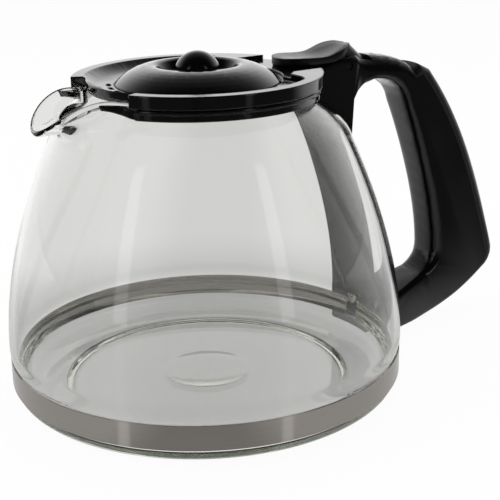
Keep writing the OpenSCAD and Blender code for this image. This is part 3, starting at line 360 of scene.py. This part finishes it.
def neckRows(g, lines, steps):
    # the four lines above the shoulder: round neck and spout, each outside and inside
    wall, drawH = g["wall"], g["neckZ"] - g["shoulderZ"]
    slope = g["leanPower"] * (g["bellyR"] - g["shoulderR"]) / (g["shoulderZ"] - g["bellyZ"])

    def lean(root, rise):
        return (root[0] - rise * slope, root[1] + rise)

    def lipAt(shares):
        return (mix(g["neckR"], g["spoutReach"], shares[0]), g["spoutZ"] + wall * shares[1])

    rootOut, rootIn = (g["shoulderR"], g["shoulderZ"]), (g["shoulderR"] - wall, g["shoulderZ"])
    neckTop = (g["neckR"], g["neckZ"])
    neckInTop = (g["neckR"] - wall, mix(g["shoulderZ"], g["neckZ"], lines["neckInTop"]))
    throat, throatIn = lipAt(lines["throat"]), lipAt(lines["throatIn"])
    throatH = throat[1] - g["shoulderZ"]
    beadFoot, beadTop = (g["neckR"], g["collarTopZ"]), (g["neckR"] + g["beadOut"], g["rimZ"])
    beadInFoot, beadInTop = (g["neckR"] - wall, g["collarTopZ"]), (g["neckR"], g["rimZ"])
    neckOut = curve(rootOut, lean(rootOut, drawH * lines["neckRise"]),
                    between(rootOut, neckTop, lines["neckPull"]), neckTop, steps["neck"])
    neckOut += [between(neckTop, beadFoot, lines["collar"]), beadFoot]
    neckOut += [between(beadFoot, beadTop, shares) for shares in lines["bead"]]
    spoutOut = curve(rootOut, lean(rootOut, throatH * lines["throatRise"]), lipAt(lines["throatPull"]),
                     throat, steps["neck"])
    spoutOut += [lipAt(shares) for shares in lines["lip"]]
    neckIn = curve(rootIn, lean(rootIn, drawH * lines["neckInRise"]),
                   between(rootIn, neckInTop, lines["neckInPull"]), neckInTop, steps["neck"])
    neckIn += [(g["neckR"] - wall, mix(g["neckZ"], g["collarTopZ"], share)) for share in lines["collarIn"]]
    neckIn += [between(beadInFoot, beadInTop, shares) for shares in lines["beadIn"]]
    spoutIn = curve(rootIn, lean(rootIn, throatH * lines["throatInRise"]), lipAt(lines["throatInPull"]),
                    throatIn, steps["neck"])
    spoutIn += [lipAt(shares) for shares in lines["lipIn"]]
    return neckOut, spoutOut, neckIn, spoutIn


def jugRows(g, lines, steps):
    # rows of (neck point, spout point, lift), from the foot up the outside and down the inside
    side = sideRows(g, steps)
    neckOut, spoutOut, neckIn, spoutIn = neckRows(g, lines, steps)
    body = footRows(g, lines, steps) + side
    innerBody = floorRows(g, lines, steps) + [(r - g["wall"], z) for r, z in side]
    last = len(neckOut) - 1
    rows = [(p, p, 0.0) for p in body[:-1]]
    rows += [(a, b, i / last) for i, (a, b) in enumerate(zip(neckOut, spoutOut))]
    rows += [(a, b, i / last) for i, (a, b) in reversed(list(enumerate(zip(neckIn, spoutIn))))]
    rows += [(p, p, 0.0) for p in reversed(innerBody[:-1])]
    return rows


def jugMesh(g, lines, steps):
    # how far the rim is drawn out, how far it droops, and how far its cheeks rise, by the angle off the spout
    def swell(a):
        if a >= g["spoutHalf"]:
            return 0
        return math.cos(math.radians(90 * (a / g["spoutHalf"]) ** g["swellPower"])) ** 2

    def droop(a):
        return math.cos(math.radians(90 * a / g["droopHalf"])) ** 2 if a < g["droopHalf"] else 0

    def cheek(a):
        if a >= g["cheekHalf"]:
            return 0
        return g["cheekRise"] * math.sin(math.radians(180 * a / g["cheekHalf"])) ** 2

    fine, coarse, half = g["fineStep"], g["coarseStep"], g["cheekHalf"]
    angles = [-half + fine * i for i in range(int(2 * half / fine))]
    angles += [half + coarse * i for i in range(int((360 - 2 * half) / coarse))]
    made = bmesh.new()
    grid = []
    for neckPoint, spoutPoint, lift in jugRows(g, lines, steps):
        row = []
        for angle in angles:
            off = abs(angle if angle <= 180 else angle - 360)
            radius = mix(neckPoint[0], spoutPoint[0], swell(off))
            height = mix(neckPoint[1], spoutPoint[1], droop(off)) + cheek(off) * lift ** g["cheekPower"]
            turn = math.radians(angle)
            point = (-radius * math.cos(turn) * mm, radius * math.sin(turn) * mm, height * mm)
            row.append(made.verts.new(point))
        grid.append(row)
    count = len(angles)
    for low, high in zip(grid, grid[1:]):
        for i in range(count):
            made.faces.new((low[i], low[(i + 1) % count], high[(i + 1) % count], high[i]))
    bottom = made.verts.new((0, 0, g["puntH"] * mm))
    top = made.verts.new((0, 0, (g["floorZ"] + g["lensH"]) * mm))
    for i in range(count):
        made.faces.new((grid[0][(i + 1) % count], grid[0][i], bottom))
        made.faces.new((grid[-1][i], grid[-1][(i + 1) % count], top))
    bmesh.ops.recalc_face_normals(made, faces=made.faces)
    mesh = bpy.data.meshes.new("glassJug")
    made.to_mesh(mesh)
    made.free()
    return mesh


jug = jugMesh(glass, glassLines, glassSteps)
smooth(jug, glass["sharpDegrees"])
addObject("glassJug", jug, clearGlass, "server", ["glass_jug"])
print("glass jug made")


# how far a facet's edge may be lifted, and how the faces beside it may differ, as the cosine of their angle
rounding = {"alike": 0.95, "foldedBack": -0.8, "leastLiftM": 1e-6, "mostLiftShare": 0.12, "mostCorners": 6}
# what is cleaned off a solid's mesh first: doubled points, and edges inside one flat face
cleaning = {"doubledM": 2e-6, "flatDegrees": 0.6}


def fanNormal(corner, sharp):
    # the normal at a face's corner, averaged over the faces around it that no sharp edge parts from it
    found, waiting, total = {corner.face}, [corner.face], Vector()
    while waiting:
        face = waiting.pop()
        for loop in face.loops:
            if loop.vert == corner.vert:
                total += face.normal * loop.calc_angle()
                for edge in (loop.edge, loop.link_loop_prev.edge):
                    if len(edge.link_faces) == 2 and edge.calc_face_angle() < sharp:
                        fresh = [f for f in edge.link_faces if f not in found]
                        found.update(fresh)
                        waiting.extend(fresh)
    return total.normalized()


def bulge(edge, sharp):
    # how far the middle of an edge lies under the round surface that its corners' normals describe:
    # an arc rises half as high there as the tangents at its two ends do
    middle = (edge.verts[0].co + edge.verts[1].co) / 2
    sides = []
    for loop in edge.link_loops:
        ends = (loop.vert, loop.link_loop_next.vert)
        normals = [fanNormal(loop, sharp), fanNormal(loop.link_loop_next, sharp)]
        rise = sum((end.co - middle).dot(n) for end, n in zip(ends, normals)) / 4
        sides.append(((normals[0] + normals[1]).normalized(), rise))
    (n1, rise1), (n2, rise2) = sides
    likeness = n1.dot(n2)
    if likeness > rounding["alike"]:
        return (n1 * rise1 + n2 * rise2) / 2
    if likeness < rounding["foldedBack"]:
        return Vector()
    spread = 1 - likeness ** 2
    return n1 * ((rise1 - likeness * rise2) / spread) + n2 * ((rise2 - likeness * rise1) / spread)


def roundOut(made, longest, sharp):
    # halves the long edges of the facets and lifts their middles onto the round surface
    plan = [(edge, bulge(edge, sharp)) for edge in made.edges
            if len(edge.link_faces) == 2 and edge.calc_length() > longest]
    plan = [(edge, lift) for edge, lift in plan
            if rounding["leastLiftM"] < lift.length < edge.calc_length() * rounding["mostLiftShare"]]
    fresh = set()
    for edge, lift in plan:
        vert = bmesh.utils.edge_split(edge, edge.verts[0], 0.5)[1]
        vert.co += lift
        fresh.add(vert)
    for face in list(made.faces):
        ends = [v for v in face.verts if v in fresh]
        if len(ends) == 2 and len(face.verts) <= rounding["mostCorners"]:
            bmesh.utils.face_split(face, ends[0], ends[1])
        elif len(ends) == 3 and len(face.verts) == 6:
            # a triangle with all three edges halved becomes four
            for a, b in ((0, 1), (1, 2), (2, 0)):
                shared = [f for f in ends[a].link_faces if f in ends[b].link_faces and len(f.verts) > 3]
                if shared:
                    bmesh.utils.face_split(shared[0], ends[a], ends[b])
    made.normal_update()


def dressed(name, material, p):
    # a copy of the solid's mesh, cleaned up and rounded out, with its edges broken as the real piece has them
    made = bmesh.new()
    made.from_mesh(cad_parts[p["node"]].data)
    bmesh.ops.remove_doubles(made, verts=made.verts, dist=cleaning["doubledM"])
    bmesh.ops.dissolve_limit(made, angle_limit=math.radians(cleaning["flatDegrees"]), verts=made.verts,
                             edges=made.edges)
    for longest in p.get("roundOutMm", ()):
        roundOut(made, longest * mm, math.radians(p["turnDegrees"]))
    mesh = bpy.data.meshes.new(name)
    made.to_mesh(mesh)
    made.free()
    smooth(mesh, p["sharpDegrees"])
    piece = addObject(name, mesh, material, p["body"], [p["node"]])
    bevel = piece.modifiers.new("brokenEdges", "BEVEL")
    bevel.width, bevel.segments, bevel.limit_method = p["edgeMm"] * mm, p["edgeSteps"], "ANGLE"
    bevel.angle_limit = math.radians(p["sharpDegrees"])
    bevel.use_clamp_overlap = True
    bevel.harden_normals = True
    print(name, "made")


# the band's strip is slit from sheet, so its edges are only just broken
steelBand = {"node": "steel_band", "body": "server", "slot": "band_steel", "edgeMm": 0.12, "edgeSteps": 2,
             "sharpDegrees": 32}
dressed("steelBand", bandSteel, steelBand)

clampScrew = {"node": "clamp_screw", "body": "server", "slot": "fastener_steel", "edgeMm": 0.3,
              "edgeSteps": 3, "sharpDegrees": 32}
dressed("clampScrew", zincSteel, clampScrew)

clampNut = {"node": "clamp_nut", "body": "server", "slot": "fastener_steel", "edgeMm": 0.25,
            "edgeSteps": 2, "sharpDegrees": 32}
dressed("clampNut", zincSteel, clampNut)

neckCollar = {"node": "neck_collar", "body": "server", "slot": "gloss_black", "edgeMm": 0.25,
              "edgeSteps": 3, "sharpDegrees": 32, "turnDegrees": 24, "roundOutMm": (1.6, 0.9)}
dressed("neckCollar", glossBlack, neckCollar)

# the finger gap's crown turns fast from facet to facet, so much more of a turn still counts as round here
handleFrame = {"node": "handle_frame", "body": "server", "slot": "matte_black", "edgeMm": 0.15,
               "edgeSteps": 3, "sharpDegrees": 50, "turnDegrees": 50, "roundOutMm": (1.6, 0.9)}
dressed("handleFrame", matteBlack, handleFrame)

# the cover's top corner is a real corner, so only slight turns are rounded
handleCover = {"node": "handle_cover", "body": "server", "slot": "gloss_black", "edgeMm": 0.15,
               "edgeSteps": 3, "sharpDegrees": 32, "turnDegrees": 14, "roundOutMm": (1.6, 0.9)}
dressed("handleCover", satinBlack, handleCover)

hingePin = {"node": "hinge_pin", "body": "server", "slot": "pin_steel", "edgeMm": 0.2, "edgeSteps": 3,
            "sharpDegrees": 32}
dressed("hingePin", pinSteel, hingePin)

lidPlate = {"node": "lid", "body": "lid_set", "slot": "gloss_black", "edgeMm": 0.35, "edgeSteps": 3,
            "sharpDegrees": 32}
dressed("lidPlate", glossBlack, lidPlate)

lidDome = {"node": "lid_dome", "body": "lid_set", "slot": "gloss_black", "edgeMm": 0.4, "edgeSteps": 3,
           "sharpDegrees": 32, "turnDegrees": 24, "roundOutMm": (1.6, 0.9)}
dressed("lidDome", glossBlack, lidDome)

dripKnob = {"node": "drip_knob", "body": "lid_set", "slot": "gloss_black", "edgeMm": 0.6, "edgeSteps": 4,
            "sharpDegrees": 32, "turnDegrees": 24, "roundOutMm": (1.6, 0.9)}
dressed("dripKnob", glossBlack, dripKnob)

thumbLever = {"node": "thumb_lever", "body": "lid_set", "slot": "gloss_black", "edgeMm": 0.6,
              "edgeSteps": 4, "sharpDegrees": 32, "turnDegrees": 24, "roundOutMm": (1.6, 0.9)}
dressed("thumbLever", satinBlack, thumbLever)


# studio: white paper to the camera, a bright wall behind the object and a dark room in front of it;
# a fade goes from its near strength to its far one between two places, in metres, or two directions' cosines
studio = {
    "floorHalf": 3.0, "floorDropMm": 0.2, "paper": "#e6e6e6",
    "paperSeen": 0.96, "wallSeen": 0.985,  # how much of the white the camera gets
    # painted shade: seen through the glass, the paper is darker close to the object
    "paperThrough": {"from": 0.055, "to": 0.2, "near": 0.46, "far": 0.84},  # seen through the glass
    # painted light: as the object mirrors it, the paper is bright close to the object, dark further out, and
    # bright again behind it
    "paperMirrored": {"from": 0.1, "to": 0.22, "near": 0.56, "far": 0.08},  # as the object mirrors it
    "paperBehind": {"from": 0.0, "to": 0.25, "near": 0.0, "far": 1.1},  # and brighter behind it
    "shadeThrough": {"from": 0.015, "to": 0.05, "near": 0.88, "far": 1.0},  # the camera's own shade
    "shadeMirrored": {"from": 0.02, "to": 0.055, "near": 0.7, "far": 1.1},
    "wall": {"from": -0.1, "to": 1.0, "near": 0.03, "far": 1.45},  # the room from its front to its back
    "ceiling": {"from": 0.35, "to": 0.85, "near": 1.0, "far": 0.25},  # and up to its ceiling
    "stripWays": ((-0.982, -0.187, 0.0), (0.282, -0.959, 0.0)),  # two upright strip lamps
    "strip": {"from": 0.9955, "to": 0.9985, "near": 0.0, "far": 1.6},
    "stripTop": {"from": 0.45, "to": 0.75, "near": 1.0, "far": 0.0},
    # painted light: two patches of the strip lamps' light, painted on the paper for mirrored rays only
    "floorStripsFrom": (-0.0239, -0.0379, 0.0),  # the light of both lamps on the paper
    "floorStrip": {"from": 0.9974, "to": 0.999, "near": 0.0, "far": 0.27},
    "fill": 0.5, "throughGlass": 1.0,
    "bounces": 24, "mirrorBounces": 20,
}
dotProduct, multiply = {"operation": "DOT_PRODUCT"}, {"operation": "MULTIPLY"}


def raySorts(tree):
    # each is 1 for its own rays: from the camera, last through glass, mirrored, and scattered
    path = addNode(tree, "ShaderNodeLightPath")
    through = path.outputs["Is Transmission Ray"]
    mirrored = addNode(tree, "ShaderNodeMath", {"operation": "SUBTRACT", "use_clamp": True}, {
        0: path.outputs["Is Glossy Ray"], 1: through}).outputs[0]
    return path.outputs["Is Camera Ray"], through, mirrored, path.outputs["Is Diffuse Ray"]


def addedLight(tree, parts):
    # adds up the studio's light: each part is the rays that meet it, its strength, and what it fades over
    total = 0.0
    for rays, strength, fades in parts:
        light = addNode(tree, "ShaderNodeMath", multiply, {0: rays, 1: strength}).outputs[0]
        for measure, fade in fades:
            level = addNode(tree, "ShaderNodeMapRange", {"interpolation_type": "SMOOTHSTEP"}, {
                "Value": measure, "From Min": fade["from"], "From Max": fade["to"],
                "To Min": fade["near"], "To Max": fade["far"]}).outputs[0]
            light = addNode(tree, "ShaderNodeMath", multiply, {0: light, 1: level}).outputs[0]
        total = addNode(tree, "ShaderNodeMath", {"operation": "ADD"}, {0: total, 1: light}).outputs[0]
    return total


def floorMaterial(s):
    # paper sweep: seen as white, with a soft shadow; in glass, painted shade near the object; in mirrors,
    # painted light near and behind it
    material, tree = newMaterial("PaperSweepPale")
    seen, through, mirrored = raySorts(tree)[:3]
    ahead, sideways = camera["ahead"], (camera["ahead"][1], -camera["ahead"][0], 0)
    place = addNode(tree, "ShaderNodeTexCoord").outputs["Object"]
    away = addNode(tree, "ShaderNodeVectorMath", {"operation": "LENGTH"}, {0: place}).outputs["Value"]
    behind = addNode(tree, "ShaderNodeVectorMath", dotProduct, {0: place, 1: ahead}).outputs["Value"]
    across = addNode(tree, "ShaderNodeVectorMath", dotProduct, {0: place, 1: sideways}).outputs["Value"]
    aside = addNode(tree, "ShaderNodeMath", {"operation": "ABSOLUTE"}, {0: across}).outputs[0]
    parts = [(seen, 1.0, []),
             (through, 1.0, [(away, s["paperThrough"]), (aside, s["shadeThrough"])]),
             (mirrored, 1.0, [(away, s["paperMirrored"]), (aside, s["shadeMirrored"])]),
             (mirrored, 1.0, [(behind, s["paperBehind"])])]
    # painted light: the front of the band mirrors two upright patches of the strip lamps' light, painted on
    # the paper
    offset = addNode(tree, "ShaderNodeVectorMath", {"operation": "SUBTRACT"}, {
        0: place, 1: s["floorStripsFrom"]})
    way = addNode(tree, "ShaderNodeVectorMath", {"operation": "NORMALIZE"}, {0: offset.outputs[0]}).outputs[0]
    for stripWay in s["stripWays"]:
        onStrip = addNode(tree, "ShaderNodeVectorMath", dotProduct, {0: way, 1: stripWay}).outputs["Value"]
        parts.append((mirrored, 1.0, [(onStrip, s["floorStrip"])]))
    white = addNode(tree, "ShaderNodeEmission", {}, {
        "Color": (1, 1, 1, 1), "Strength": addedLight(tree, parts)})
    paper = addNode(tree, "ShaderNodeBsdfDiffuse", {}, {"Color": toLinear(s["paper"])})
    share = addedLight(tree, [(seen, s["paperSeen"], []), (through, 1.0, []), (mirrored, 1.0, [])])
    both = addNode(tree, "ShaderNodeMixShader", {}, {0: share, 1: paper.outputs[0], 2: white.outputs[0]})
    addNode(tree, "ShaderNodeOutputMaterial", {}, {"Surface": both.outputs[0]})
    return material


def makeWorld(s):
    world = bpy.data.worlds.new("studioWorld")
    scene.world = world
    world.use_nodes = True
    tree = world.node_tree
    tree.nodes.clear()
    seen, through, mirrored, scattered = raySorts(tree)
    way = addNode(tree, "ShaderNodeTexCoord").outputs["Generated"]
    above = addNode(tree, "ShaderNodeSeparateXYZ", {}, {0: way}).outputs["Z"]
    behind = addNode(tree, "ShaderNodeVectorMath", dotProduct, {
        0: way, 1: camera["ahead"]}).outputs["Value"]
    parts = [(seen, s["wallSeen"], []), (through, s["throughGlass"], []), (scattered, s["fill"], []),
             (mirrored, 1.0, [(behind, s["wall"]), (above, s["ceiling"])])]
    # the strip lamps are mirrored as soft streaks down the front of the glass
    flat = addNode(tree, "ShaderNodeVectorMath", multiply, {0: way, 1: (1, 1, 0)})
    level = addNode(tree, "ShaderNodeVectorMath", {"operation": "NORMALIZE"}, {0: flat.outputs[0]}).outputs[0]
    for stripWay in s["stripWays"]:
        onStrip = addNode(tree, "ShaderNodeVectorMath", dotProduct, {0: level, 1: stripWay}).outputs["Value"]
        parts.append((mirrored, 1.0, [(onStrip, s["strip"]), (above, s["stripTop"])]))
    sky = addNode(tree, "ShaderNodeBackground", {}, {
        "Color": (1, 1, 1, 1), "Strength": addedLight(tree, parts)})
    addNode(tree, "ShaderNodeOutputWorld", {}, {"Surface": sky.outputs[0]})


def makeFloor(s):
    half = s["floorHalf"]
    mesh = bpy.data.meshes.new("paperFloor")
    corners = [(-half, -half, 0), (half, -half, 0), (half, half, 0), (-half, half, 0)]
    mesh.from_pydata(corners, [], [(0, 1, 2, 3)])
    floor = addObject("paperFloor", mesh, floorMaterial(s), None)
    floor.location.z = -s["floorDropMm"] * mm


# soft lamps, in metres and watts; they light the surfaces and are not mirrored as hard squares
lamps = {"overheadSoftbox": {"place": (0.1, 0.2, 1.1), "aim": (0, 0, 0.06), "size": (0.9, 0.9), "power": 7.0},
         "leftSoftbox": {"place": (-1.0, 0.2, 0.6), "aim": (0, 0, 0.06), "size": (0.5, 0.8), "power": 4.0}}


def addLamp(name, lamp):
    data = bpy.data.lights.new(name, "AREA")
    data.shape, data.energy = "RECTANGLE", lamp["power"]
    data.size, data.size_y = lamp["size"]
    holder = bpy.data.objects.new(name, data)
    scene.collection.objects.link(holder)
    holder.location = lamp["place"]
    holder.rotation_mode = "QUATERNION"
    holder.rotation_quaternion = (Vector(lamp["aim"]) - Vector(lamp["place"])).to_track_quat("-Z", "Y")
    holder.visible_glossy = False
    holder.visible_transmission = False


makeWorld(studio)
makeFloor(studio)
for name, lamp in lamps.items():
    addLamp(name, lamp)
scene.view_settings.view_transform = "Standard"
# the light runs a long way round inside the thick glass of the spout and the foot
scene.cycles.max_bounces = scene.cycles.transmission_bounces = studio["bounces"]
scene.cycles.glossy_bounces = studio["mirrorBounces"]
print("studio set")
